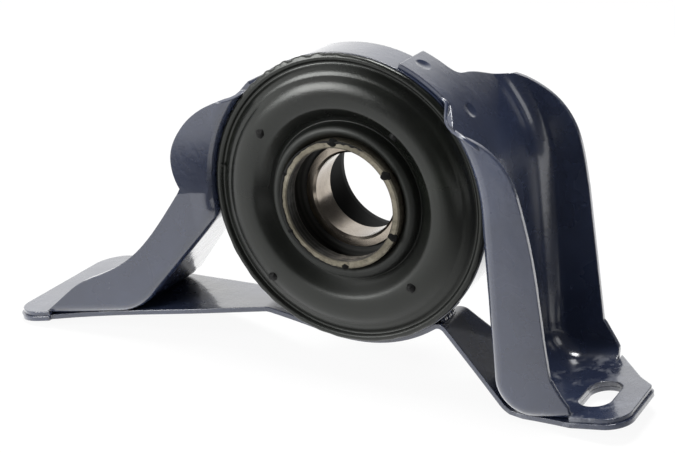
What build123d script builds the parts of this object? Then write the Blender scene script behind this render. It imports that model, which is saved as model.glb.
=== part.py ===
"""Driveshaft centre bearing: a ball bearing in a rubber cushion, in a steel ring,
on a bracket of two pressed legs and a strap. Millimetres, +Z up, feet level.
The origin is the centre of the bearing, and the shaft runs along Y."""
from build123d import *
from math import acos, atan2, cos, degrees, radians, sin, sqrt, tan
import os

# Ball bearing
bore_r = 17.5
ball_r = 3.97
ball_count = 11
race_wall = 2.78
race_chamfer = 1.0
ball_clearance = 0.04
groove_conformity = 1.04
inner_groove_depth_ratio = 0.257
outer_groove_depth_ratio = 0.181
seal_thickness = 0.9
seal_recess = 0.5
seal_lip_clearance = 0.12
seal_lip_depth = 0.4
cage_sheet = 0.8
cage_width_ratio = 0.4786
cage_ball_clearance = 0.12
cage_seal_gap = 0.71
rivet_r = 0.6
rivet_head_r = 1.05
rivet_head_height = 0.45

# Steel sleeve that carries the bearing
sleeve_wall = 2.0
sleeve_rear_length = 4.0
nose_lip_reach = 7.9
nose_lip_wall = 3.0
nose_length = 13.5
nose_land = 6.5
nose_round = 0.6
nose_cone_depth = 3.4
shoulder_reach = 2.8

# Rear dust boot
boot_flange = 2.6
boot_mouth_reach = 7.6
boot_wall = 2.4
boot_length = 19.0

# Steel ring round the rubber
ring_outer_r = 59.5
ring_wall = 2.0
ring_width = 17.8
ring_front = -13.0

# Rubber cushion
rim_overhang = 1.6
rim_lip_margin = 0.6
rim_groove_reach = 1.4
torus_outer_ratio = 0.889
torus_crest_ratio = 0.56
torus_inner_ratio = 0.25
torus_crest_height = 5.8
torus_side_drop = 5.4
trough_wall = 5.0
trough_round = 1.6
trough_turn = 65.0
collar_wall = 5.3
collar_setback = 1.7
rubber_wall = 5.0
rubber_rear_setback = 1.8

# Pressed bracket
sheet = 2.0
seat_gap = 0.05
fold_inner_r = 3.0
right_rear_fold_r = 7.0
far = 260.0
left_foot_ratio = 0.7809
right_foot_ratio = 1.4391

# Right leg
right_front = -22.5
right_rear = 40.8
right_tab_end = 60.0
right_straight_angle = -3.0
right_bend_r = 15.0
right_tip_ratio = 1.8136
right_channel_ratio = 1.4442
tab_front = -12.0
tab_rear = 9.5
right_step_top_ratio = 0.6129
right_step_low_ratio = 0.5122
swing_shares = [(0.0, 0.7977), (0.24, 0.7137), (0.719, 0.6381), (1.166, 0.6045)]

# Left leg
left_tab_end = 127.0
left_arc_end = 178.0
left_knee_drop = 5.6
left_knee_r = 8.0
left_slope = 42.5
left_foot_bend_r = 24.0
left_tip_ratio = 2.7741
left_channel_ratio = 2.5525
left_front_at_ring = -18.4
left_rear_at_ring = 8.0
left_front_flare_ratio = 0.15
left_rear_flare_ratio = 0.38
front_flare_from_ratio = 1.1755
left_step_top_ratio = 0.7641
left_step_low_ratio = 0.7137
rear_flare_from_ratio = 0.9236

# Strap under the ring
strap_margin = 0.7
strap_front = -11.0
strap_rear = 4.5
strap_left_bend_ratio = 0.7725
strap_arc_end = -62.0
strap_descent = 53.0
strap_fold_r = 5.0
strap_foot_r = 9.0
strap_front_shares = [(right_channel_ratio, 1), (0.8732, 0.328), (0.3359, 0), (-0.6717, 0),
                      (-1.293, 0.284), (-1.8472, 0.492), (-left_channel_ratio, 1)]
strap_rear_shares = [(-left_channel_ratio, 1), (-1.8304, 0.557), (-1.0915, 0.253), (-0.5038, 0),
                     (0.4198, 0.026), (0.8732, 0.464), (right_channel_ratio, 1)]

# Foot corners
left_foot_corner_r = 12.0
right_foot_corner_r = 10.0
right_slant_y = 11.5
right_slant_depth = 7.0
right_step_y = 19.0

# Fixing slots and weld dimples
slot_width = 13.3
slot_length = 25.0
right_slot_ratio = 1.5214
left_slot_ratio = 2.3006
right_slot_y = 1.0
left_slot_y = 4.0
weld_sphere_r = 9.0
weld_depth = 0.7
weld_y = -1.5
weld_angles = [54.7, 31.2]

# Worked out from the sizes above
pitch_r = bore_r + race_wall + ball_r
race_od_r = pitch_r + ball_r + race_wall
cage_depth = ball_r + cage_ball_clearance + cage_sheet
half_race = cage_depth + cage_seal_gap + seal_thickness + seal_recess
inner_shoulder_r = pitch_r - ball_r * (1 - inner_groove_depth_ratio)
outer_shoulder_r = pitch_r + ball_r * (1 - outer_groove_depth_ratio)
cage_half_width = ball_r * cage_width_ratio
sleeve_outer_r = race_od_r + sleeve_wall
sleeve_rear = half_race + sleeve_rear_length
nose_lip_r = race_od_r - nose_lip_reach
nose_outer_r = nose_lip_r + nose_lip_wall
nose_front = -half_race - nose_length
boot_mouth_r = race_od_r - boot_mouth_reach
boot_rear = sleeve_rear + boot_length
ring_inner_r = ring_outer_r - ring_wall
ring_rear = ring_front + ring_width
seat_r = ring_outer_r + seat_gap
rim_lip_r = ring_outer_r - rim_lip_margin
rim_groove_r = ring_inner_r - rim_groove_reach
collar_r = nose_outer_r + collar_wall
rubber_span = ring_inner_r - collar_r
left_foot_z = -seat_r * left_foot_ratio
right_foot_z = -seat_r * right_foot_ratio
right_tip = seat_r * right_tip_ratio
right_channel_end = seat_r * right_channel_ratio
right_slot_x = seat_r * right_slot_ratio
left_tip = -seat_r * left_tip_ratio
left_channel_end = -seat_r * left_channel_ratio
left_slot_x = -seat_r * left_slot_ratio
groove_r = (ball_r + ball_clearance) * groove_conformity
inner_groove_axis = pitch_r - ball_r - ball_clearance + groove_r
outer_groove_axis = pitch_r + ball_r + ball_clearance - groove_r
ball_step = 360.0 / ball_count
ball_start = ball_step / 4


def polar(radius, angle):
    """Point of the X-Z plane at this radius and angle in degrees."""
    return (radius * cos(radians(angle)), radius * sin(radians(angle)))


def ball_place(index):
    """Centre of a pocket of the cage, whole numbers being balls and halves rivets."""
    x, z = polar(pitch_r, ball_start + index * ball_step)
    return Pos(x, 0, z)


def turned(points, *cuts):
    """Solid of revolution about Y from (radius, y) points."""
    outline = make_face(Polyline(*points, close=True))
    for cut in cuts:
        outline -= cut
    return revolve(outline, Axis.Y)


def across(face, y_from, y_to):
    """Extrude a face drawn as (x, z) from one y to another."""
    return Pos(0, y_to, 0) * Rot(90, 0, 0) * extrude(face, amount=y_to - y_from)


def upright(face):
    """Extrude a plan face drawn as (x, y) through the whole height."""
    return Pos(0, 0, -far) * extrude(face, amount=2 * far)


def sideways(face, x_from, x_to):
    """Extrude a side face drawn as (y, z) from one x to another."""
    return Pos(x_from, 0, 0) * Rot(0, 0, 90) * Rot(90, 0, 0) * extrude(face, amount=x_to - x_from)


def save(name, solid):
    """Write one piece to its own STEP file."""
    solid.label = name
    export_step(solid, f"parts/{name}.step")


# Bearing


def inner_race():
    """Inner race with a deep ball groove and chamfered bore."""
    edge = bore_r + race_chamfer
    face_r = inner_shoulder_r
    lead = half_race - race_chamfer
    points = [(bore_r, -lead), (edge, -half_race), (face_r, -half_race),
              (face_r, half_race), (edge, half_race), (bore_r, lead)]
    return turned(points, Pos(inner_groove_axis, 0) * Circle(groove_r))


def outer_race():
    """Outer race with a ball groove and a recess for each seal."""
    edge = race_od_r - race_chamfer
    lead = half_race - race_chamfer
    step = half_race - seal_recess - seal_thickness
    lip = outer_shoulder_r + race_chamfer
    points = [(outer_shoulder_r, -step), (lip, -step), (lip, -half_race),
              (edge, -half_race), (race_od_r, -lead), (race_od_r, lead),
              (edge, half_race), (lip, half_race), (lip, step),
              (outer_shoulder_r, step)]
    return turned(points, Pos(outer_groove_axis, 0) * Circle(groove_r))


def ball(index):
    """One ball on the pitch circle."""
    return ball_place(index) * Sphere(ball_r)


def pocket(index, radius):
    """Cylinder through one ball's place, lying along the bearing's radius."""
    spin = Rot(0, -(ball_start + index * ball_step), 0)
    return spin * Pos(pitch_r, 0, 0) * Rot(0, 90, 0) * Cylinder(radius, 4 * cage_half_width)


def cage_half(side):
    """Pressed half cage: a ribbon that humps round each ball and lies flat between."""
    hug_r = ball_r + cage_ball_clearance
    ring = Circle(pitch_r + cage_half_width) - Circle(pitch_r - cage_half_width)
    body = across(ring, 0, cage_sheet)
    band = across(ring, 0, hug_r + 2 * cage_sheet)
    for index in range(ball_count):
        body += band & pocket(index, hug_r + cage_sheet)
    for index in range(ball_count):
        body -= pocket(index, hug_r)
        hole = Rot(90, 0, 0) * Cylinder(rivet_r, 4 * cage_sheet)
        body -= ball_place(index + 0.5) * hole
    return body if side > 0 else mirror(body, Plane.XZ)


def rivet(index):
    """Rivet that joins the two cage halves between two balls."""
    tip = cage_sheet + rivet_head_height
    points = [(0, -tip), (rivet_head_r, -tip), (rivet_head_r, -cage_sheet),
              (rivet_r, -cage_sheet), (rivet_r, cage_sheet),
              (rivet_head_r, cage_sheet), (rivet_head_r, tip), (0, tip)]
    return ball_place(index + 0.5) * turned(points)


def seal(side):
    """Rubber-faced seal, held in the outer race and clear of the inner one."""
    lip = inner_shoulder_r + seal_lip_clearance
    outside = half_race - seal_recess
    inside = outside - seal_thickness
    rim = outer_shoulder_r + race_chamfer
    bend = lip + seal_thickness
    points = [(lip, inside - seal_lip_depth), (bend, inside - seal_lip_depth),
              (bend + seal_lip_depth, inside), (rim, inside), (rim, outside),
              (bend, outside), (lip, inside)]
    body = turned(points)
    return body if side > 0 else mirror(body, Plane.XZ)


# Sleeve, boot, ring and rubber


def inner_sleeve():
    """Machined sleeve: bearing seat, shoulder and a nose with a bare front lip."""
    shoulder = race_od_r - shoulder_reach
    land = nose_front + nose_land
    cone = land + nose_cone_depth
    step = -half_race - sleeve_wall
    points = [(nose_lip_r, nose_front + nose_round),
              (nose_lip_r + nose_round, nose_front),
              (nose_outer_r - nose_round, nose_front),
              (nose_outer_r, nose_front + nose_round),
              (nose_outer_r, land), (sleeve_outer_r, cone + sleeve_wall),
              (sleeve_outer_r, sleeve_rear), (race_od_r, sleeve_rear),
              (race_od_r, -half_race), (shoulder, -half_race), (shoulder, step),
              (nose_lip_r, land)]
    return turned(points)


def rear_dust_boot():
    """Soft boot pressed in the rear of the sleeve, narrowing to its mouth."""
    front = half_race + seat_gap
    neck = race_od_r - boot_wall
    over = sleeve_rear + boot_flange
    points = [(neck, front), (race_od_r, front), (race_od_r, sleeve_rear),
              (sleeve_outer_r, sleeve_rear), (sleeve_outer_r, over),
              (race_od_r - boot_wall, over), (boot_mouth_r + boot_wall, boot_rear - boot_wall),
              (boot_mouth_r + boot_wall, boot_rear), (boot_mouth_r, boot_rear),
              (boot_mouth_r, boot_rear - boot_wall), (neck - boot_wall, over)]
    return turned(points)


def outer_ring():
    """Rolled steel ring with broken edges."""
    ring = across(Circle(ring_outer_r) - Circle(ring_inner_r), ring_front, ring_rear)
    return ring


def cushion_point(ratio, y):
    """Point of the rubber's section, at this share of the way from collar to ring."""
    return (collar_r + rubber_span * ratio, y)


def cushion_roll(offset):
    """Roll of the rubber and the straight wall inside it, moved back by offset."""
    crest = ring_front - torus_crest_height + offset
    rise = ring_front - rim_overhang / 2 + offset
    side = crest + torus_side_drop
    roll = ThreePointArc(cushion_point(torus_outer_ratio, rise),
                         cushion_point(torus_crest_ratio, crest),
                         cushion_point(torus_inner_ratio, side))
    return [roll, Line(roll @ 1, (roll @ 1) + (roll % 1) * trough_wall)]


def rubber_cushion():
    """Moulded rubber: rim lip over the ring, torus, trough, and collar on the sleeve."""
    front = cushion_roll(0)
    front += [JernArc(front[1] @ 1, front[1] % 1, trough_round, trough_turn)]
    back = cushion_roll(rubber_wall)
    rim_front = ring_front - rim_overhang
    collar_front = nose_front + collar_setback
    rear = ring_rear - rubber_rear_setback
    land = nose_front + nose_land
    cone = land + nose_cone_depth + sleeve_wall
    bond = ring_inner_r
    root = bond - rubber_wall / 2
    front_line = Polyline(front[0] @ 0, (rim_groove_r, rim_front + rim_overhang),
                          (rim_groove_r + rim_overhang / 2, rim_front),
                          (rim_lip_r - rim_overhang / 2, rim_front),
                          (rim_lip_r, rim_front + rim_overhang / 2),
                          (rim_lip_r, ring_front), (bond, ring_front),
                          (bond, rear), (root, rear), back[0] @ 0)
    heel = sleeve_rear - rubber_rear_setback
    back_line = Polyline(back[1] @ 1, (sleeve_outer_r + rubber_wall / 2, heel),
                         (sleeve_outer_r, heel), (sleeve_outer_r, cone),
                         (nose_outer_r, land), (nose_outer_r, collar_front + nose_round),
                         (nose_outer_r + nose_round, collar_front),
                         (collar_r - 2 * nose_round, collar_front),
                         (collar_r, collar_front + 2 * nose_round), front[2] @ 1)
    section = make_face([*front, front_line, *back, back_line])
    return revolve(section, Axis.Y)


# Bracket, with the side outlines drawn as (x, z)


def by_ring(*points):
    """Outline points that are given in radii of the ring's seat."""
    return [(x * seat_r, z * seat_r) for x, z in points]


def smooth(*points):
    """Smooth edge through outline points that are given in ring radii."""
    return Spline(*by_ring(*points))


def right_path(lift):
    """Right leg's line: round the ring, straight down, out along the foot."""
    lean = tan(radians(right_straight_angle))
    foot = right_foot_z + lift
    arc = CenterArc((0, 0), seat_r + lift, right_tab_end, right_straight_angle - right_tab_end)
    start = arc @ 1
    corner = (start.X + (start.Y - foot) * lean, foot)
    leg = FilletPolyline(start, corner, (right_tip, foot), radius=right_bend_r - lift)
    return [arc, leg]


def left_path(lift):
    """Left leg's line: round the ring, a knee, the slope, out along the foot."""
    fall = tan(radians(left_slope))
    foot = left_foot_z + lift
    arc = CenterArc((0, 0), seat_r + lift, left_tab_end, left_arc_end - left_tab_end)
    start = arc @ 1
    knee_z = -left_knee_drop + lift * tan(radians(left_slope) / 2)
    knee = (start.X, knee_z)
    run = (knee_z - foot) / fall
    middle = (knee[0] - run / 2, knee_z - run / 2 * fall)
    corner = (knee[0] - run, foot)
    upper = FilletPolyline(start, knee, middle, radius=left_knee_r - lift)
    lower = FilletPolyline(middle, corner, (left_tip, foot), radius=left_foot_bend_r - lift)
    return [arc, upper, lower]


def joined(path):
    """One wire through all the pieces of a line."""
    return Wire([edge for piece in path for edge in piece.edges()])


def beyond(path):
    """Area on the outer side of a leg's line."""
    first = path[0] @ 0
    last = path[-1] @ 1
    top = first * 2.2
    return make_face([*path, Polyline(last, (last.X, top.Y), top, first)])


def fold_edges(block, path):
    """Edges of a block that run along a leg's line."""
    line = joined(path)
    found = []
    for edge in block.edges():
        middle = edge @ 0.5
        along = abs((edge % 0.5).Y) < 0.7
        if along and line.distance_to(Vector(middle.X, middle.Z, 0)) < 0.01:
            found.append(edge)
    return found


def folded_block(path, plan, middle_y, front_r, rear_r):
    """Block beyond a leg's line, rounded where the flanges are folded up."""
    block = across(beyond(path), -far / 2, far / 2) & upright(plan)
    edges = fold_edges(block, path)
    block = fillet([edge for edge in edges if (edge @ 0.5).Y < middle_y], front_r)
    edges = fold_edges(block, path)
    return fillet([edge for edge in edges if (edge @ 0.5).Y > middle_y], rear_r)


def channel(path_of, plan_of, keep_front, keep_rear, middle_y, rear_r):
    """Pressed channel with each flange trimmed to its own free edge."""
    front_r = fold_inner_r
    outer = folded_block(path_of(0), plan_of(0), middle_y, front_r + sheet, rear_r + sheet)
    inner = folded_block(path_of(sheet), plan_of(sheet), middle_y, front_r, rear_r)
    open_area = beyond(path_of(sheet))
    body = outer - inner
    body -= across(open_area - keep_front, -far / 2, middle_y)
    body -= across(open_area - keep_rear, middle_y, far / 2)
    return body


def right_plan(inset):
    """Right channel seen from above."""
    width = right_rear - right_front - 2 * inset
    return Pos(0, (right_rear + right_front) / 2) * Rectangle(2 * far, width)


def left_edge(x, side):
    """Where the flared front (-1) or rear (1) edge of the left leg is, at this x."""
    if side < 0:
        run = -seat_r * front_flare_from_ratio - x
        return left_front_at_ring - run * left_front_flare_ratio
    run = -seat_r * rear_flare_from_ratio - x
    return left_rear_at_ring + run * left_rear_flare_ratio


def left_plan(inset):
    """Left channel seen from above, wider towards its foot."""
    points = [(0, left_front_at_ring + inset),
              (-seat_r * front_flare_from_ratio, left_front_at_ring + inset),
              (-far, left_edge(-far, -1) + inset), (-far, left_edge(-far, 1) - inset),
              (-seat_r * rear_flare_from_ratio, left_rear_at_ring - inset),
              (0, left_rear_at_ring - inset)]
    return make_face(Polyline(*points, close=True))


def right_front_flange():
    """Free edge of the right leg's front flange."""
    top = smooth((0.9404, 0.4534), (1.1385, 0.3325), (1.2477, 0.1511), (1.293, -0.0672),
                 (1.3199, -0.3157), (1.3333, -0.848), (1.3468, -1.1671))
    foot = smooth((1.3585, -1.1839), (1.4139, -1.2997), (1.5281, -1.4442))
    inside = by_ring((0.6717, -1.5113), (0.6717, 0.4534))
    return make_face([top, Line(top @ 1, foot @ 0), foot, Polyline(foot @ 1, *inside, top @ 0)])


def right_rear_flange():
    """Free edge of the right leg's rear flange."""
    top = smooth((0.7389, 0.6465), (0.927, 0.6079), (1.0915, 0.5206), (1.2124, 0.4114),
                 (1.3081, 0.2385), (1.3451, 0.0336), (1.3552, -0.2015))
    foot = smooth((1.3669, -1.1671), (1.424, -1.293), (1.4945, -1.4442))
    side = Polyline(top @ 1, *by_ring((1.3501, -1.1402)), foot @ 0)
    inside = by_ring((0.6717, -1.5113), (0.5038, 0.6465))
    return make_face([top, side, foot, Polyline(foot @ 1, *inside, top @ 0)])


def left_front_flange():
    """Free edge of the left leg's front flange, with a lobe at its top."""
    lobe = smooth((-0.6213, 0.7641), (-0.838, 0.7154), (-1.0109, 0.6482), (-1.1671, 0.529),
                  (-1.2628, 0.3694), (-1.2678, 0.2015), (-1.2427, 0.1175))
    lower = smooth((-1.2662, 0.084), (-1.4845, -0.1629), (-1.7431, -0.3795), (-1.9815, -0.4803),
                   (-2.136, -0.5306), (-2.3275, -0.6499), (-2.6196, -0.8144))
    inside = by_ring((-0.6717, -1.0076), (-0.3359, 0.6717))
    close = Polyline(lower @ 1, *inside, lobe @ 0)
    return make_face([lobe, Line(lobe @ 1, lower @ 0), lower, close])


def left_rear_flange():
    """Free edge of the left leg's low rear flange."""
    edge = smooth((-0.974, 0.2015), (-1.1083, 0.1343), (-1.2427, 0.0084), (-1.4777, -0.2603),
                  (-1.78, -0.5374), (-2.1159, -0.7053), (-2.351, -0.8144))
    inside = by_ring((-0.6717, -1.0076), (-0.3359, 0.2015))
    return make_face([edge, Polyline(edge @ 1, *inside, edge @ 0)])


def right_tab_cut():
    """What is cut from the right web so that only a narrow tab goes up round the ring."""
    top = seat_r * right_step_top_ratio
    low = seat_r * right_step_low_ratio
    step = Polyline((tab_front, far), (tab_front, top), (right_front + sheet, low),
                    (-far, low), (-far, far), close=True)
    run = right_rear - tab_rear
    swing = Spline(*[(tab_rear + share * run, z * seat_r) for share, z in swing_shares],
                   tangents=[(0, -1), (1, 0)])
    corners = [((swing @ 1).X, far), (tab_rear, far)]
    rear = make_face([swing, Polyline(swing @ 1, *corners, swing @ 0)])
    return sideways(make_face(step), 0, far) + sideways(rear, 0, far)


def left_tab_cut():
    """What is cut from the left web in front of its tab."""
    top = seat_r * left_step_top_ratio
    low = seat_r * left_step_low_ratio
    step = Polyline((tab_front, far), (tab_front, top), (left_front_at_ring, low),
                    (-far, low), (-far, far), close=True)
    return sideways(make_face(step), -far, 0)


def right_foot(margin):
    """Right foot in plan, with a rounded front corner and a slanted rear one."""
    out = right_tip + margin
    points = [(right_channel_end, right_front - margin), (out, right_front - margin),
              (out, right_slant_y), (out - right_slant_depth, right_step_y),
              (right_channel_end, right_rear + margin)]
    plan = make_face(Polyline(*points, close=True))
    corners = plan.vertices().sort_by(Axis.X)[2:].sort_by(Axis.Y)
    plan = fillet(corners[:1], right_foot_corner_r)
    corners = plan.vertices().sort_by(Axis.Y)[-3:-1]
    return fillet(corners, right_foot_corner_r / 3)


def left_foot(margin):
    """Left foot in plan, with two well rounded corners."""
    out = left_tip - margin
    start = left_channel_end + left_foot_corner_r / 2
    points = [(start, left_edge(start, -1) - margin),
              (out, left_edge(out, -1) - margin), (out, left_edge(out, 1) + margin),
              (start, left_edge(start, 1) + margin)]
    plan = make_face(Polyline(*points, close=True))
    return fillet(plan.vertices().sort_by(Axis.X)[:2], left_foot_corner_r)


def plate(plan, bottom):
    """Flat foot sheet on this level."""
    return Pos(0, 0, bottom) * extrude(plan, amount=sheet)


def slot_cut(x, y):
    """Fixing slot, long along Y."""
    return upright(Pos(x, y) * Rot(0, 0, 90) * SlotOverall(slot_length, slot_width))


def weld_dimple(angle):
    """Shallow round dent of a spot weld."""
    x, z = polar(seat_r + sheet + weld_sphere_r - weld_depth, angle)
    return Pos(x, weld_y, z) * Sphere(weld_sphere_r)


def right_leg():
    """Right leg: tab round the ring, upright channel, slotted foot."""
    middle = (right_front + right_rear) / 2
    body = channel(right_path, right_plan, right_front_flange(), right_rear_flange(), middle,
                   right_rear_fold_r)
    body -= right_tab_cut()
    body -= upright(Pos(right_channel_end + far / 2, 0) * Rectangle(far, 2 * far))
    body += plate(right_foot(0), right_foot_z)
    body -= slot_cut(right_slot_x, right_slot_y)
    for angle in weld_angles:
        body -= weld_dimple(angle)
    return body


def left_leg():
    """Left leg: tab round the ring, sloping channel, broad foot."""
    middle = (left_front_at_ring + left_rear_at_ring) / 2
    body = channel(left_path, left_plan, left_front_flange(), left_rear_flange(), middle,
                   fold_inner_r)
    body -= left_tab_cut()
    body -= upright(Pos(left_channel_end - far / 2, 0) * Rectangle(far, 2 * far))
    body += plate(left_foot(0), left_foot_z)
    body -= slot_cut(left_slot_x, left_slot_y)
    return body


def strap_line():
    """Top line of the strap: left foot, under the ring, sharp fold, right foot."""
    bend = (-seat_r * strap_left_bend_ratio, left_foot_z)
    reach = sqrt(bend[0] ** 2 + left_foot_z ** 2)
    touch = degrees(atan2(left_foot_z, bend[0])) + degrees(acos(seat_r / reach))
    arc = CenterArc((0, 0), seat_r, touch, strap_arc_end - touch)
    flat = FilletPolyline((left_tip - strap_margin, left_foot_z), bend, arc @ 0,
                          radius=strap_foot_r)
    fall = tan(radians(strap_descent))
    fold = (arc @ 1) + (arc % 1) * strap_fold_r
    run = (fold.Y - right_foot_z) / fall
    middle = (fold.X + run / 2, fold.Y - run / 2 * fall)
    knee = FilletPolyline(arc @ 1, fold, middle, radius=strap_fold_r)
    foot = FilletPolyline(middle, (fold.X + run, right_foot_z),
                          (right_tip + strap_margin, right_foot_z), radius=strap_foot_r)
    return [flat, arc, knee, foot]


def strap_edge(middle, left_y, right_y, shares):
    """Long edge of the strap, by x in ring radii and share of the way to that side's foot."""
    points = []
    for x, share in shares:
        end = right_y if x > 0 else left_y
        points.append((x * seat_r, middle + share * (end - middle)))
    return Spline(*points)


def strap_plan():
    """Strap seen from above: narrow under the ring, as wide as each foot at its ends."""
    left = left_foot(strap_margin).bounding_box()
    front = strap_edge(strap_front, left.min.Y + strap_margin, right_front - strap_margin,
                       strap_front_shares)
    rear = strap_edge(strap_rear, left.max.Y - strap_margin, right_rear + strap_margin,
                      strap_rear_shares)
    ends = [Line(front @ 1, rear @ 0), Line(rear @ 1, front @ 0)]
    return make_face([front, rear, *ends])


def lower_strap():
    """Strap that runs under the ring and beneath both feet."""
    ribbon = make_face(offset(joined(strap_line()), amount=sheet, side=Side.RIGHT))
    body = across(ribbon, -far / 2, far / 2)
    plan = strap_plan() + right_foot(strap_margin) + left_foot(strap_margin)
    body &= upright(plan)
    body -= slot_cut(right_slot_x, right_slot_y)
    body -= slot_cut(left_slot_x, left_slot_y)
    return body


if __name__ == "__main__":
    os.makedirs("parts", exist_ok=True)
    save("inner_race", inner_race())
    save("outer_race", outer_race())
    for number in range(ball_count):
        save(f"ball_{number + 1:02d}", ball(number))
        save(f"cage_rivet_{number + 1:02d}", rivet(number))
    save("cage_front", cage_half(-1))
    save("cage_rear", cage_half(1))
    save("seal_front", seal(-1))
    save("seal_rear", seal(1))
    save("inner_sleeve", inner_sleeve())
    save("rear_dust_boot", rear_dust_boot())
    save("outer_ring", outer_ring())
    save("rubber_cushion", rubber_cushion())
    save("right_leg", right_leg())
    save("left_leg", left_leg())
    save("lower_strap", lower_strap())
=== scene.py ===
# %% [markdown]
# # A driveshaft centre bearing, dressed for a studio picture
#
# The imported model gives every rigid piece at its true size. This script keeps those
# pieces where they are, gives each one a finish, adds the small marks that moulding,
# welding and painting leave, and lights the whole thing softly on a white floor.

# %% Load the frame
import bmesh
import bpy
import numpy as np
from mathutils import Matrix


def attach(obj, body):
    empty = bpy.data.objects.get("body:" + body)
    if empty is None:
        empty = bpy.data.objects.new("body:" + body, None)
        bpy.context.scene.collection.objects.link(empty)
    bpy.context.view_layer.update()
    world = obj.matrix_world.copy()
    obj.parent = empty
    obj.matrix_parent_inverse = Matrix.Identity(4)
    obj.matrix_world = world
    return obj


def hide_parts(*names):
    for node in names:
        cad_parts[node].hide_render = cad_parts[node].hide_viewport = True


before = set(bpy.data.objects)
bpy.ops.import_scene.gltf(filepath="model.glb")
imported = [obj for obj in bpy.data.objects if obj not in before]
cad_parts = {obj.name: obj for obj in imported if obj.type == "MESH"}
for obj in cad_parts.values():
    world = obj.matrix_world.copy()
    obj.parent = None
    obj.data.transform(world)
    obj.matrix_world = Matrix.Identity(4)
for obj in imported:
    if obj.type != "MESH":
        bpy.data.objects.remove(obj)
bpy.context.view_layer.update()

# %% [markdown]
# ## Camera
#
# The picture was taken from the front and a little above, with a fairly long lens. The
# camera is given as three directions: what points right, up and back towards the
# photographer. The bracket's feet are level in the model, but the part stands on them
# tilted, so the camera rolls by the same few degrees.

# %% Place the camera


def standing(place, right, up, back):
    """Matrix of a thing at a place whose own x, y and z point right, up and back."""
    turn = Matrix([list(row) for row in np.column_stack([right, up, back])]).to_4x4()
    return Matrix.Translation(tuple(place)) @ turn


camera_data = bpy.data.cameras.new("photo_camera")
camera_data.sensor_width = 36.0
camera_data.lens = 90.93
camera_data.clip_end = 20.0
camera = bpy.data.objects.new("photo_camera", camera_data)
camera.matrix_world = standing(
    place=(0.3201, -0.5754, 0.1748),
    right=(0.87588, 0.45881, -0.14945),
    up=(-0.00178, 0.31276, 0.94981),
    back=(0.48253, -0.83166, 0.27475),
)
bpy.context.scene.collection.objects.link(camera)
bpy.context.scene.camera = camera
print("camera at", [round(v, 3) for v in camera.matrix_world.translation])

# %% [markdown]
# ## Node helpers
#
# A material is a small tree of nodes. These helpers add a node, join two sockets and
# build masks. Patterns read the Object coordinates, so they stick to a piece as it turns.
# Colours are written as screen colours from 0 to 255 and carried to linear light.

# %% Adding and joining nodes


def put(value, socket):
    """Give an input a constant, or join it when the value is another node's output."""
    if isinstance(value, bpy.types.NodeSocket):
        socket.id_data.links.new(value, socket)
    else:
        socket.default_value = value


def put_all(node, values):
    """Fill a node's inputs by name."""
    for name, value in values.items():
        put(value, node.inputs[name])


def add(tree, kind, *values, **settings):
    """A node of this kind, with its settings by name and its first inputs in order."""
    node = tree.nodes.new(kind)
    for name, value in settings.items():
        if name in node.inputs:
            put(value, node.inputs[name])
        else:
            setattr(node, name, value)
    for socket, value in zip(node.inputs, values):
        put(value, socket)
    return node


def maths(tree, operation, *values):
    """Result of one step of arithmetic."""
    return add(tree, "ShaderNodeMath", *values, operation=operation).outputs[0]


def vectors(tree, operation, *values, give="Vector"):
    """Result of one step of vector arithmetic."""
    return add(tree, "ShaderNodeVectorMath", *values, operation=operation).outputs[give]


def times(tree, *masks):
    """Product of masks and numbers."""
    total = masks[0]
    for mask in masks[1:]:
        total = maths(tree, "MULTIPLY", total, mask)
    return total


def new_finish(name):
    """A new material with an empty tree and its output and Principled shader joined."""
    material = bpy.data.materials.new(name)
    material.use_nodes = True
    tree = material.node_tree
    tree.nodes.clear()
    shader = tree.nodes.new("ShaderNodeBsdfPrincipled")
    add(tree, "ShaderNodeOutputMaterial", Surface=shader.outputs["BSDF"])
    return material, tree, shader


# %% Where on the piece


def place_on(tree):
    """Place on the piece, in metres."""
    return tree.nodes.new("ShaderNodeTexCoord").outputs["Object"]


def parts_of(tree, vector):
    """The x, y and z of a vector."""
    return tuple(add(tree, "ShaderNodeSeparateXYZ", vector).outputs)


def off_shaft(tree):
    """Distance from the shaft's axis, which is the Y axis: the length of (x, 0, z)."""
    flat = vectors(tree, "MULTIPLY", place_on(tree), (1.0, 0.0, 1.0))
    return vectors(tree, "LENGTH", flat, give="Value")


def noise(tree, scale, detail=4.0, roughness=0.55):
    """Noise from 0 to 1 on the piece's own coordinates."""
    return add(
        tree, "ShaderNodeTexNoise",
        Vector=place_on(tree), Scale=scale, Detail=detail, Roughness=roughness,
    ).outputs["Fac"]


# %% Masks and colours


def spread(tree, source, low, high):
    """A value from 0..1 carried to low..high."""
    return add(tree, "ShaderNodeMapRange", source, 0.0, 1.0, low, high).outputs["Result"]


def window(tree, source, low, high, below=0.0, above=1.0):
    """Smooth step from one value to another as the source goes from low to high."""
    return add(
        tree, "ShaderNodeMapRange", source, low, high, below, above,
        interpolation_type="SMOOTHSTEP",
    ).outputs["Result"]


def linear(screen_colour):
    """Screen colour 0..255 as linear light, with an alpha of 1."""
    values = np.array(screen_colour) / 255
    light = np.where(values <= 0.04045, values / 12.92, ((values + 0.055) / 1.055) ** 2.4)
    return (*(float(v) for v in light), 1.0)


def tones(tree, source, *stops):
    """Colour ramp through (place, screen colour) stops."""
    node = add(tree, "ShaderNodeValToRGB", source)
    points = node.color_ramp.elements
    for point, (place, colour) in zip(points, (stops[0], stops[-1])):
        point.position, point.color = place, linear(colour)
    for place, colour in stops[1:-1]:
        points.new(place).color = linear(colour)
    return node.outputs["Color"]


def blend(tree, mask, below, above):
    """Colour that goes from below to above where the mask is 1."""
    node = add(tree, "ShaderNodeMix", mask, data_type="RGBA")
    for socket, value in ((node.inputs[6], below), (node.inputs[7], above)):
        put(linear(value) if isinstance(value, tuple) else value, socket)
    return node.outputs[2]


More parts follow.
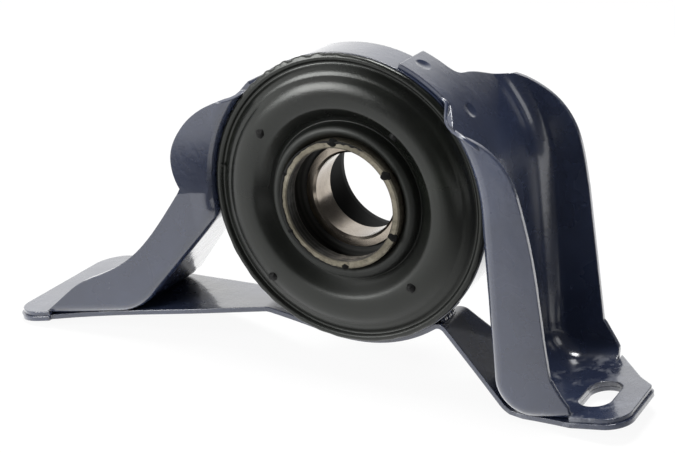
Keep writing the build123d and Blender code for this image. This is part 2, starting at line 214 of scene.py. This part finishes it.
def relief(tree, source, strength, height, normal=None):
    """Normal bent by a pattern, on top of another normal if one is given."""
    node = add(tree, "ShaderNodeBump", Strength=strength, Distance=height, Height=source)
    if normal is not None:
        put(normal, node.inputs["Normal"])
    return node.outputs["Normal"]


def edges(tree, radius):
    """Normal that rounds every sharp edge, and a mask that is 1 on those edges."""
    soft = add(tree, "ShaderNodeBevel", samples=6, Radius=radius).outputs["Normal"]
    flat = tree.nodes.new("ShaderNodeNewGeometry").outputs["Normal"]
    agree = vectors(tree, "DOT_PRODUCT", soft, flat, give="Value")
    turned = add(tree, "ShaderNodeMapRange", agree, 0.99, 0.86)
    return soft, turned.outputs["Result"]


print("helpers ready")

# %% [markdown]
# ## Bracket paint
#
# The pressed legs are dipped in a dark navy enamel. It is glossy but not flat: a faint
# orange peel bends the reflections, and thin places are a little lighter. Sharp edges are
# pale grey, partly as worn paint and partly as a painted highlight. A low, wide noise gives
# the colour drift, a finer one the peel. The left leg's lobe is slightly dished down to its
# neck, so its normal leans a little more towards the shaft there.

# %% Enamel colour: drift, worn and painted-highlight edges, scuffed foot, specks
enamel, tree, shader = new_finish("navy_enamel")
rounded, on_edge = edges(tree, 0.0007)
coat = tones(
    tree, noise(tree, 22.0, 5.0),
    (0.3, (31, 37, 55)), (0.55, (39, 46, 66)), (0.75, (50, 58, 80)),
)
# Sharp edges are painted pale grey: partly worn paint, partly a painted highlight along each edge.
worn_and_highlit_edges = times(tree, on_edge, window(tree, noise(tree, 210.0, 5.0, 0.7), 0.46, 0.7), 0.8)
coat = blend(tree, worn_and_highlit_edges, coat, (118, 120, 128))
at_x, at_y, at_z = parts_of(tree, place_on(tree))
on_foot = window(tree, at_z, -0.0815, -0.0835)
scuffed = times(tree, on_foot, window(tree, noise(tree, 95.0, 8.0, 0.72), 0.52, 0.64))
coat = blend(tree, times(tree, scuffed, 0.6), coat, (112, 115, 124))
specks = window(tree, noise(tree, 1300.0, 2.0, 0.5), 0.73, 0.78)
coat = blend(tree, times(tree, specks, 0.5), coat, (105, 108, 118))

# %% Enamel surface: the lobe's dish, wide waves and fine peel
normal_y = parts_of(tree, tree.nodes.new("ShaderNodeNewGeometry").outputs["Normal"])[1]
on_lobe = times(
    tree,
    window(tree, at_x, -0.052, -0.055),
    window(tree, at_y, -0.0155, -0.0165),
    window(tree, at_z, 0.0045, 0.0053),
    window(tree, at_z, 0.050, 0.044),
    window(tree, normal_y, -0.8, -0.86),
)
lean = add(tree, "ShaderNodeCombineXYZ", window(tree, at_z, 0.047, 0.008, 0.0, 0.42), -1.0)
dished = add(tree, "ShaderNodeMix", on_lobe, data_type="VECTOR")
put(rounded, dished.inputs[4])
put(lean.outputs["Vector"], dished.inputs[5])
even = vectors(tree, "NORMALIZE", dished.outputs[1])
waves = relief(tree, noise(tree, 38.0, 2.0), 0.25, 0.0012, even)
peel = relief(tree, noise(tree, 420.0, 2.0), 0.12, 0.0004, waves)
gloss = spread(tree, noise(tree, 60.0, 3.0), 0.2, 0.34)
put_all(shader, {
    "Base Color": coat,
    "Roughness": maths(tree, "MULTIPLY_ADD", scuffed, 0.25, gloss),
    "Coat Weight": 1.0,
    "Coat Roughness": 0.1,
    "Normal": peel,
    "Coat Normal": peel,
})
print(enamel.name, len(tree.nodes), "nodes")

# %% [markdown]
# ## Rubber
#
# Moulded rubber is almost black with a green-grey bloom. Its skin is satin, so the
# highlights on the roll are broad, and fine speckle breaks them up. Dust dulls the lower
# half and the collar.

# %% Moulded rubber
rubber, tree, shader = new_finish("moulded_black_rubber")
height = parts_of(tree, place_on(tree))[2]
satin = spread(tree, noise(tree, 120.0, 4.0), 0.21, 0.31)
below = window(tree, height, 0.012, -0.022, 0.0, 0.16)
on_collar = window(tree, off_shaft(tree), 0.0345, 0.0315, 0.0, 0.22)
put_all(shader, {
    "Base Color": tones(
        tree, noise(tree, 34.0, 6.0, 0.6),
        (0.3, (9, 10, 9)), (0.6, (15, 17, 14)), (0.8, (27, 30, 25)),
    ),
    "Roughness": maths(tree, "ADD", maths(tree, "ADD", satin, below), on_collar),
    "Specular IOR Level": 0.4,
    "Specular Tint": (0.975, 1.0, 0.965, 1),
    "Normal": relief(tree, noise(tree, 1500.0, 3.0), 0.25, 0.0002),
})

# %% Boot rubber, softer and blacker
boot_black, tree, shader = new_finish("soft_black_rubber")
put_all(shader, {
    "Base Color": tones(tree, noise(tree, 80.0, 5.0), (0.35, (8, 8, 8)), (0.7, (17, 18, 18))),
    "Roughness": spread(tree, noise(tree, 200.0, 4.0), 0.5, 0.62),
    "Specular IOR Level": 0.16,
    "Normal": relief(tree, noise(tree, 1200.0, 3.0), 0.2, 0.0002),
})

# %% Seal rubber, moulded in fine rings
RING_WIDTH = 0.0011
seal_grey, tree, shader = new_finish("seal_rubber")
ripple = maths(tree, "PINGPONG", off_shaft(tree), RING_WIDTH)
put_all(shader, {
    "Base Color": tones(
        tree, window(tree, ripple, 0.0, RING_WIDTH), (0.0, (20, 20, 19)), (1.0, (46, 46, 44))
    ),
    "Roughness": spread(tree, noise(tree, 200.0, 4.0), 0.4, 0.55),
    "Normal": relief(tree, ripple, 0.4, 0.001),
})

# %% Near black for the filled holes, blacker than the rubber: partly rubber, partly painted shade of the holes
hole_shade_black, tree, shader = new_finish("filled_hole_painted_shade")
put_all(shader, {
    "Base Color": tones(tree, noise(tree, 900.0, 4.0), (0.35, (3, 3, 3)), (0.7, (12, 12, 12))),
    "Roughness": 0.75,
    "Specular IOR Level": 0.1,
    "Normal": relief(tree, noise(tree, 1600.0, 3.0), 0.3, 0.0002),
})

# %% [markdown]
# ## Bare metal
#
# The races are ground bright, so they mirror what is round them, and fine turning rings
# run round the shaft. The sleeve's lip is turned steel with a warm oxide tint, which the
# moulding has stained. Inside its nose the bore is coloured near black, with fine rings.

# %% Ground and pressed steel


def steel(name, dark, light, low, high, ring_scale):
    """Metal with a blotchy tint and fine turning rings round the Y axis."""
    material, tree, shader = new_finish(name)
    rings = add(
        tree, "ShaderNodeTexWave", wave_type="RINGS", rings_direction="Y",
        Vector=place_on(tree), Scale=ring_scale, Distortion=1.0,
    )
    put_all(shader, {
        "Metallic": 1.0,
        "Base Color": tones(tree, noise(tree, 90.0, 6.0), (0.3, dark), (0.7, light)),
        "Roughness": spread(tree, noise(tree, 160.0, 5.0), low, high),
        "Normal": relief(tree, rings.outputs["Fac"], 0.1, 0.00005),
    })
    return material


ground_steel = steel("ground_race_steel", (128, 119, 108), (168, 159, 148), 0.16, 0.3, 1500.0)
cage_steel = steel("pressed_cage_steel", (150, 150, 148), (176, 176, 172), 0.3, 0.45, 500.0)

# %% Sleeve steel: turned, then stained by the moulding
sleeve_steel, tree, shader = new_finish("stained_sleeve_steel")
oxide = tones(
    tree, noise(tree, 70.0, 6.0, 0.65),
    (0.3, (78, 74, 63)), (0.55, (118, 113, 100)), (0.75, (144, 139, 127)),
)
stain = window(tree, noise(tree, 260.0, 8.0, 0.75), 0.42, 0.6)
along_shaft = parts_of(tree, place_on(tree))[1]
# Inside the nose the bore is coloured near black with fine rings, and not metallic.
in_nose_bore = times(
    tree,
    window(tree, off_shaft(tree), 0.0236, 0.0233),
    window(tree, along_shaft, -0.0203, -0.0198),
)
smears = window(tree, noise(tree, 520.0, 6.0, 0.8), 0.58, 0.68, 0.0, 0.75)
black = maths(tree, "MAXIMUM", in_nose_bore, smears)
ripple = maths(tree, "PINGPONG", along_shaft, RING_WIDTH)
nose_bore_dark_rings = tones(
    tree, window(tree, ripple, 0.0, RING_WIDTH),
    (0.0, (13, 13, 12)), (0.8, (34, 34, 32)), (1.0, (64, 64, 60)),
)
stained = blend(tree, times(tree, stain, 0.35), oxide, (74, 68, 60))
put_all(shader, {
    "Base Color": blend(tree, black, stained, nose_bore_dark_rings),
    "Metallic": spread(tree, black, 0.85, 0.1),
    "Roughness": spread(tree, stain, 0.4, 0.62),
    "Normal": relief(tree, noise(tree, 700.0, 6.0, 0.7), 0.35, 0.00025),
})
print("steel ready")

# %% Give every carried-over piece its finish
pieces_of = {
    enamel: ("left_leg", "right_leg", "lower_strap", "outer_ring"),
    rubber: ("rubber_cushion",),
    boot_black: ("rear_dust_boot",),
    seal_grey: ("seal_front", "seal_rear"),
    sleeve_steel: ("inner_sleeve",),
    ground_steel: ("outer_race", "inner_race"),
    cage_steel: ("cage_front", "cage_rear"),
}
finish_of = {name: finish for finish, names in pieces_of.items() for name in names}
for name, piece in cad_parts.items():
    unnamed = cage_steel if "rivet" in name else ground_steel
    for material_slot in piece.material_slots:
        material_slot.material = finish_of.get(name, unnamed)
print(len(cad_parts), "pieces have a finish")

# %% [markdown]
# ## The rubber cushion
#
# The cushion is a body of revolution, so its skin is one profile carried round the
# shaft. The profile runs from the rim over the big roll and the trough to the collar and
# back behind. A smooth curve goes through a few named places, and the grid is fine
# enough to carry the ragged flash that the mould leaves on the rim. From here on, lengths
# are in millimetres, and a mesh is made in metres.

# %% Curves, waves and grids


def smooth_line(places, count):
    """Catmull-Rom curve through places, count points a span."""
    p = np.array(places, float)
    ends = np.vstack([2 * p[0] - p[1], p, 2 * p[-1] - p[-2]])
    t = np.linspace(0, 1, count, endpoint=False)[:, None, None]
    a, b, c, d = ends[:-3], ends[1:-2], ends[2:-1], ends[3:]
    curve = 0.5 * (
        2 * b + (c - a) * t
        + (2 * a - 5 * b + 4 * c - d) * t**2
        + (3 * b - a - 3 * c + d) * t**3
    )
    return np.vstack([curve.transpose(1, 0, 2).reshape(-1, p.shape[1]), p[-1]])


def wavy(angle, seed, fewest, most):
    """Sum of sines of whole numbers of waves round the circle, between -1 and 1."""
    chance = np.random.default_rng(seed)
    total = np.zeros_like(angle)
    for waves_round in range(fewest, most):
        phase = chance.uniform(0, 2 * np.pi)
        total = total + np.sin(waves_round * angle + phase) / np.sqrt(most - fewest)
    return np.tanh(total)


SAME_PLACE = 1e-7


def grid_piece(name, points, around=True, along=False, capped=False, back=0):
    """Mesh from a grid of points, closed round the first axis, and the second if asked.

    A capped piece has one flat face across its first column and one across its last.
    The last columns, as many as back says, are a hidden back and are shaded flat.
    Points in the same place are merged, so an end that shrinks to nothing is closed.
    """
    rows, columns = points.shape[:2]
    here = np.arange(rows * columns).reshape(rows, columns)
    down = np.roll(here, -1, axis=0)
    corners = np.stack([here, down, np.roll(down, -1, axis=1), np.roll(here, -1, axis=1)], axis=-1)
    sides = corners[: rows if around else rows - 1, : columns if along else columns - 1]
    smooth = np.ones(sides.shape[:2], bool)
    smooth[:, columns - back:] = False
    faces, smooth = sides.reshape(-1, 4).tolist(), smooth.ravel().tolist()
    if capped:
        faces += [here[::-1, 0].tolist(), here[:, -1].tolist()]
        smooth += [False, False]
    mesh = bpy.data.meshes.new(name)
    mesh.from_pydata((points.reshape(-1, 3) / 1000).tolist(), [], faces)
    mesh.polygons.foreach_set("use_smooth", smooth)
    merged = bmesh.new()
    merged.from_mesh(mesh)
    bmesh.ops.remove_doubles(merged, verts=merged.verts, dist=SAME_PLACE)
    merged.to_mesh(mesh)
    merged.free()
    mesh.update()
    piece = bpy.data.objects.new(name, mesh)
    bpy.context.scene.collection.objects.link(piece)
    return piece


def dress(piece, material, body="housing"):
    """Give a new piece its finish and the body that carries it."""
    piece.data.materials.append(material)
    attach(piece, body)
    print(piece.name, len(piece.data.polygons), "faces")
    return piece


# %% Profile of the cushion, as (radius, y)
SPAN_POINTS = 4
front_skin = smooth_line([
    # rim lip
    (57.5, -13.03), (58.95, -13.05), (59.15, -13.7), (58.8, -14.5), (57.9, -15.0),
    (57.0, -14.9), (56.4, -14.3),
    # groove inside the rim, then the ridge
    (56.0, -13.75), (55.4, -13.65), (54.7, -14.05), (53.9, -14.75), (53.0, -15.4),
    (52.2, -15.85), (51.4, -16.15), (50.8, -16.45),
    # big roll
    (50.0, -17.1), (48.8, -17.9), (47.3, -18.55), (45.5, -19.0), (43.5, -19.2),
    (42.0, -19.18), (40.4, -19.0), (39.2, -18.7), (38.3, -18.2), (37.4, -17.4),
    (36.3, -16.3), (35.1, -15.15), (34.0, -14.2),
    # trough and collar
    (33.1, -13.5), (32.4, -13.2), (31.95, -13.9), (31.6, -15.4), (31.1, -16.7),
    (30.3, -17.5), (29.2, -17.9), (28.0, -17.6), (27.0, -16.8), (26.35, -15.8),
], SPAN_POINTS)
inner_fit = np.array([
    (26.15, -15.3), (26.15, -14.2), (29.4, -11.6), (33.05, -8.9),
    (33.05, -2.0), (33.05, 5.0), (33.05, 8.8),
])
rear_skin = smooth_line([
    (33.3, 9.2), (35.4, 9.1), (36.0, 7.8), (37.0, 2.4), (38.6, -3.0),
    (40.8, -8.0), (43.6, -11.8), (46.8, -13.3), (50.2, -12.4), (53.0, -9.9),
    (54.5, -7.4), (55.0, -4.0), (55.4, 1.0), (56.2, 3.4), (57.3, 3.8),
], SPAN_POINTS)
outer_fit = np.array([(57.45, 3.2), (57.45, -3.0), (57.45, -9.0), (57.45, -12.6)])
profile = np.vstack([front_skin, inner_fit, rear_skin, outer_fit])
print("profile points", len(profile))

# %% Carry the profile round, with flash on the rim
TURNS = 440
angle = np.linspace(0, 2 * np.pi, TURNS, endpoint=False)[:, None]
profile_r, profile_y = profile[None, :, 0], profile[None, :, 1]
radius = np.repeat(profile_r, TURNS, axis=0)
depth = np.repeat(profile_y, TURNS, axis=0)
top_left = np.exp(-(((np.degrees(angle) - 112) / 24) ** 4))
on_rim = np.exp(-(((profile_r - 58.9) / 0.5) ** 2)) * (profile_y < -13.2) * (profile_y > -14.8)
fine_ripple = 0.14 * wavy(angle, 3, 20, 60)
ragged = top_left * (0.4 + 0.5 * wavy(angle, 5, 40, 90))
radius += on_rim * (fine_ripple + ragged)
on_roll = np.exp(-(((profile_r - 46) / 9) ** 2)) * (profile_y < -14)
depth += on_roll * 0.09 * wavy(angle, 21, 2, 9)
cushion_points = np.stack([radius * np.cos(angle), depth, radius * np.sin(angle)], axis=-1)
cushion = grid_piece("cushion_skin", cushion_points, along=True)
dress(cushion, rubber)
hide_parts("rubber_cushion")

# %% [markdown]
# ## Moulding and welding marks
#
# The mould leaves four small sprue pips on the roll and six rubber-filled holes in the
# sleeve's lip. Each mark is a little dome: a grid of rings whose height falls off with
# a cosine, turned to face out of the surface it sits on. Where the right leg's front
# flange begins, the cut edge of the sheet rolls forward in an S, and a thin lip carries it.

# %% Domes


def on_shaft_circle(radius, degrees, y):
    """Place at this radius and angle round the shaft."""
    turned = np.radians(degrees)
    return np.array([radius * np.cos(turned), y, radius * np.sin(turned)])


def skin_depth(radius):
    """How far forward the cushion's skin is at this radius, inside the rim."""
    inside = front_skin[3 * SPAN_POINTS:]
    order = np.argsort(inside[:, 0])
    return float(np.interp(radius, inside[order, 0], inside[order, 1]))


def dome(name, centre, out, size, height, seed, squash=1.0):
    """Dome with a ragged edge. Its height is the cosine of the way out, less a little."""
    out = np.array(out, float) / np.linalg.norm(out)
    helper = np.array([0.0, 0.0, 1.0]) if abs(out[2]) < 0.9 else np.array([1.0, 0.0, 0.0])
    side = np.cross(helper, out)
    side /= np.linalg.norm(side)
    up = np.cross(out, side) * squash
    around = np.linspace(2 * np.pi, 0, 28, endpoint=False)[:, None]
    way = np.linspace(0.02, 1.0, 10)[None, :]
    reach = (size * way * (1 + 0.16 * wavy(around, seed, 2, 6)))[..., None]
    rise = (height * (np.cos(way * np.pi / 2) - 0.15))[..., None]
    turn = around[..., None]
    points = centre + reach * (np.cos(turn) * side + np.sin(turn) * up) + rise * out
    return grid_piece(name, points, capped=True)


pips = [(42.4, 136.3), (47.0, -140.0), (42.3, -53.1), (37.5, 44.7)]
for number, (pip_radius, degrees) in enumerate(pips):
    centre = on_shaft_circle(pip_radius, degrees, skin_depth(pip_radius))
    out = (0, -1, 0) - 0.35 * on_shaft_circle(1, degrees, 0)
    dress(dome(f"sprue_pip_{number + 1}", centre, out, 2.1, 1.4, 31 + number), boot_black)

# %% Rubber in the six holes of the lip, darkened by painted shade, as (angle, radius, size)
LIP_FRONT = -20.5
lip_holes = [
    (86.5, 25.4, 2.3), (27.6, 25.3, 2.4), (-30.9, 25.2, 2.2),
    (-92.9, 25.2, 1.6), (-156.0, 25.7, 1.4), (149.0, 25.7, 1.3),
]
for number, (degrees, hole_radius, size) in enumerate(lip_holes):
    centre = on_shaft_circle(hole_radius, degrees, LIP_FRONT)
    fill = dome(f"lip_fill_{number + 1}", centre, (0, -1, 0), size, 0.5, 41 + number, 0.75)
    # The fill is blacker than the rubber round it: painted shade of the holes.
    dress(fill, hole_shade_black)

# %% Strips: flash, a weld bead and a rolled edge


def flash(name, first, last, inner, outer, rough, seed):
    """Thin ragged strip of rubber on the lip, between two angles and two radii.

    Its section goes over the crest from the outer radius to the inner and back flat.
    """
    angle = np.radians(np.linspace(first, last, 160))[:, None]
    fade = np.sin(np.linspace(0, np.pi, 160))[:, None] ** 0.5
    low = inner + rough * wavy(angle, seed, 12, 60) + (outer - inner) * (1 - fade)
    radius = low + (outer - low) * np.array([[1.0, 0.5, 0.12, 0.0, 0.12, 0.5]])
    depth = LIP_FRONT - 0.02 - np.array([[0.0, 0.28, 0.22, 0.0, 0.0, 0.0]]) * fade
    points = np.stack([radius * np.cos(angle), depth, radius * np.sin(angle)], axis=-1)
    return grid_piece(name, points, around=False, along=True, back=3)


def bead(name, start, end, out, width, height, ripples, seed):
    """Weld bead: half round with a flat back, its width and height rippling along it."""
    out = out / np.linalg.norm(out)
    side = np.cross(out, end - start)
    side = side / np.linalg.norm(side)
    along = np.linspace(0, 1, 60)[:, None]
    around = np.linspace(-1.9, 1.9, 17)[None, :, None]
    swell = np.sqrt(np.clip(1 - (2 * along - 1) ** 6, 0, 1)) * (
        1 + 0.1 * np.abs(np.sin(np.pi * ripples * along)) + 0.12 * wavy(7 * along, seed, 1, 4)
    )
    centre_line = start + along * (end - start)
    across = 0.5 * width * np.sin(around) * side + height * np.cos(around) * out
    points = centre_line[:, None] + swell[..., None] * across
    return grid_piece(name, points, around=False, along=True, back=1)


def rolled_edge(name, places, radius):
    """Round lip on a smooth path. Its radius falls to nothing at both ends."""
    path = smooth_line(places, 8)
    along = np.gradient(path, axis=0)
    along /= np.linalg.norm(along, axis=1, keepdims=True)
    side = np.cross(along, (0.0, 1.0, 0.0))
    side /= np.linalg.norm(side, axis=1, keepdims=True)
    up = np.cross(side, along)
    spin = np.linspace(2 * np.pi, 0, 14, endpoint=False)[:, None, None]
    thin = radius * np.sqrt(1 - np.linspace(-1, 1, len(path)) ** 6)[:, None]
    return grid_piece(name, path + thin * (np.cos(spin) * side + np.sin(spin) * up))


flange_root = [
    (46.0, -12.1, 39.8), (48.4, -12.9, 37.5), (49.0, -15.0, 34.7),
    (49.3, -16.6, 32.0), (51.1, -18.6, 29.8), (54.3, -20.8, 28.0),
    (57.8, -22.4, 26.3), (60.9, -22.7, 24.2), (63.7, -22.7, 21.5),
]
dress(rolled_edge("flange_root_edge", flange_root, 0.95), enamel)
dress(flash("lip_flash_left", 100, 262, 24.9, 26.25, 0.22, 61), boot_black)
dress(flash("lip_flash_top", 55, 104, 25.2, 26.3, 0.3, 62), boot_black)
nub_place = on_shaft_circle(56.4, 163.8, -14.5)
dress(dome("rim_nub", nub_place, (-0.4, -1, 0.1), 0.9, 1.0, 71), rubber)
weld_start, weld_end = on_shaft_circle(60.4, -58.5, -9.5), on_shaft_circle(60.4, -58.5, 3.0)
weld_out = on_shaft_circle(1, -20, 0)
weld = bead("strap_tack_weld", weld_start, weld_end, weld_out, 3.4, 1.5, 7, 81)
dress(weld, enamel)

# %% [markdown]
# ## Floor and light
#
# The floor is white and passes under both feet. The camera sees it white with a faint
# shadow. Glossy paint and metal mirror a floor that is bright on the left and in front
# and darker towards the right, which gives the bracket its light and dark faces.

# %% White floor
LEFT_FOOT, RIGHT_FOOT = (-0.1655, -0.0485), (0.0665, -0.0877)
REACH, GAP = 4.0, 0.0003
slope = (RIGHT_FOOT[1] - LEFT_FOOT[1]) / (RIGHT_FOOT[0] - LEFT_FOOT[0])
grid_x = np.array([-REACH, REACH, REACH, -REACH])
grid_y = np.array([-REACH, -REACH, REACH, REACH])
grid_z = LEFT_FOOT[1] + (grid_x - LEFT_FOOT[0]) * slope - GAP
floor_data = bpy.data.meshes.new("studio_floor")
floor_data.from_pydata(np.column_stack([grid_x, grid_y, grid_z]).tolist(), [], [[0, 1, 2, 3]])
floor = bpy.data.objects.new("studio_floor", floor_data)
bpy.context.scene.collection.objects.link(floor)

white, tree, shader = new_finish("white_floor")
put_all(shader, {"Base Color": (0.9, 0.9, 0.9, 1), "Roughness": 0.9})
ray = tree.nodes.new("ShaderNodeLightPath").outputs
to_left = vectors(tree, "DOT_PRODUCT", place_on(tree), (-1.0, 0.6, 0.0), give="Value")
to_right = parts_of(tree, place_on(tree))[0]
mirrored = maths(
    tree, "MAXIMUM",
    window(tree, to_left, -0.21, -0.06, 0.06, 1.5),
    window(tree, to_right, 0.24, 0.42, 0.0, 1.6),
)
level = add(
    tree, "ShaderNodeMix", ray["Is Glossy Ray"], A=1.0, B=mirrored, data_type="FLOAT"
).outputs["Result"]
glow = add(tree, "ShaderNodeEmission", Strength=level)
to_camera = spread(tree, ray["Is Camera Ray"], 0.0, 0.92)
seen = maths(tree, "MAXIMUM", ray["Is Glossy Ray"], to_camera)
mix = add(
    tree, "ShaderNodeMixShader", seen, shader.outputs["BSDF"], glow.outputs["Emission"]
)
output = next(node for node in tree.nodes if node.type == "OUTPUT_MATERIAL")
put(mix.outputs["Shader"], output.inputs["Surface"])
floor_data.materials.append(white)

# %% Soft boxes


def soft_box(name, place, size, power):
    """Square area light that faces the shaft's centre."""
    data = bpy.data.lights.new(name, "AREA")
    data.shape = "SQUARE"
    data.size = size
    data.energy = power
    back = np.array(place) / np.linalg.norm(place)
    side = np.cross((0.0, 0.0, 1.0), back)
    side = side / np.linalg.norm(side)
    lamp = bpy.data.objects.new(name, data)
    lamp.matrix_world = standing(place, side, np.cross(back, side), back)
    bpy.context.scene.collection.objects.link(lamp)


soft_box("top_box", (0.1, 0.1, 1.3), 0.48, 20.0)
soft_box("key_box", (-0.62, -0.9, 0.5), 0.5, 11.0)
soft_box("right_box", (1.3, -0.2, 0.5), 0.6, 2.2)

# %% White surroundings
world = bpy.data.worlds.new("white_studio")
bpy.context.scene.world = world
world.use_nodes = True
tree = world.node_tree
tree.nodes.clear()
ray = tree.nodes.new("ShaderNodeLightPath").outputs
direction = tree.nodes.new("ShaderNodeTexCoord").outputs["Generated"]
to_left = vectors(tree, "DOT_PRODUCT", direction, (-1.0, 0.3, 0.0), give="Value")
mirrored = window(tree, to_left, -0.12, 0.3, 0.06, 1.25)
unseen = add(
    tree, "ShaderNodeMix", ray["Is Glossy Ray"], A=0.3, B=mirrored, data_type="FLOAT"
).outputs["Result"]
strength = add(
    tree, "ShaderNodeMix", ray["Is Camera Ray"], A=unseen, B=1.0, data_type="FLOAT"
).outputs["Result"]
sky = add(tree, "ShaderNodeBackground", Color=(1, 1, 1, 1), Strength=strength)
add(tree, "ShaderNodeOutputWorld", Surface=sky.outputs["Background"])
bpy.context.scene.view_settings.view_transform = "Standard"
print("studio ready")
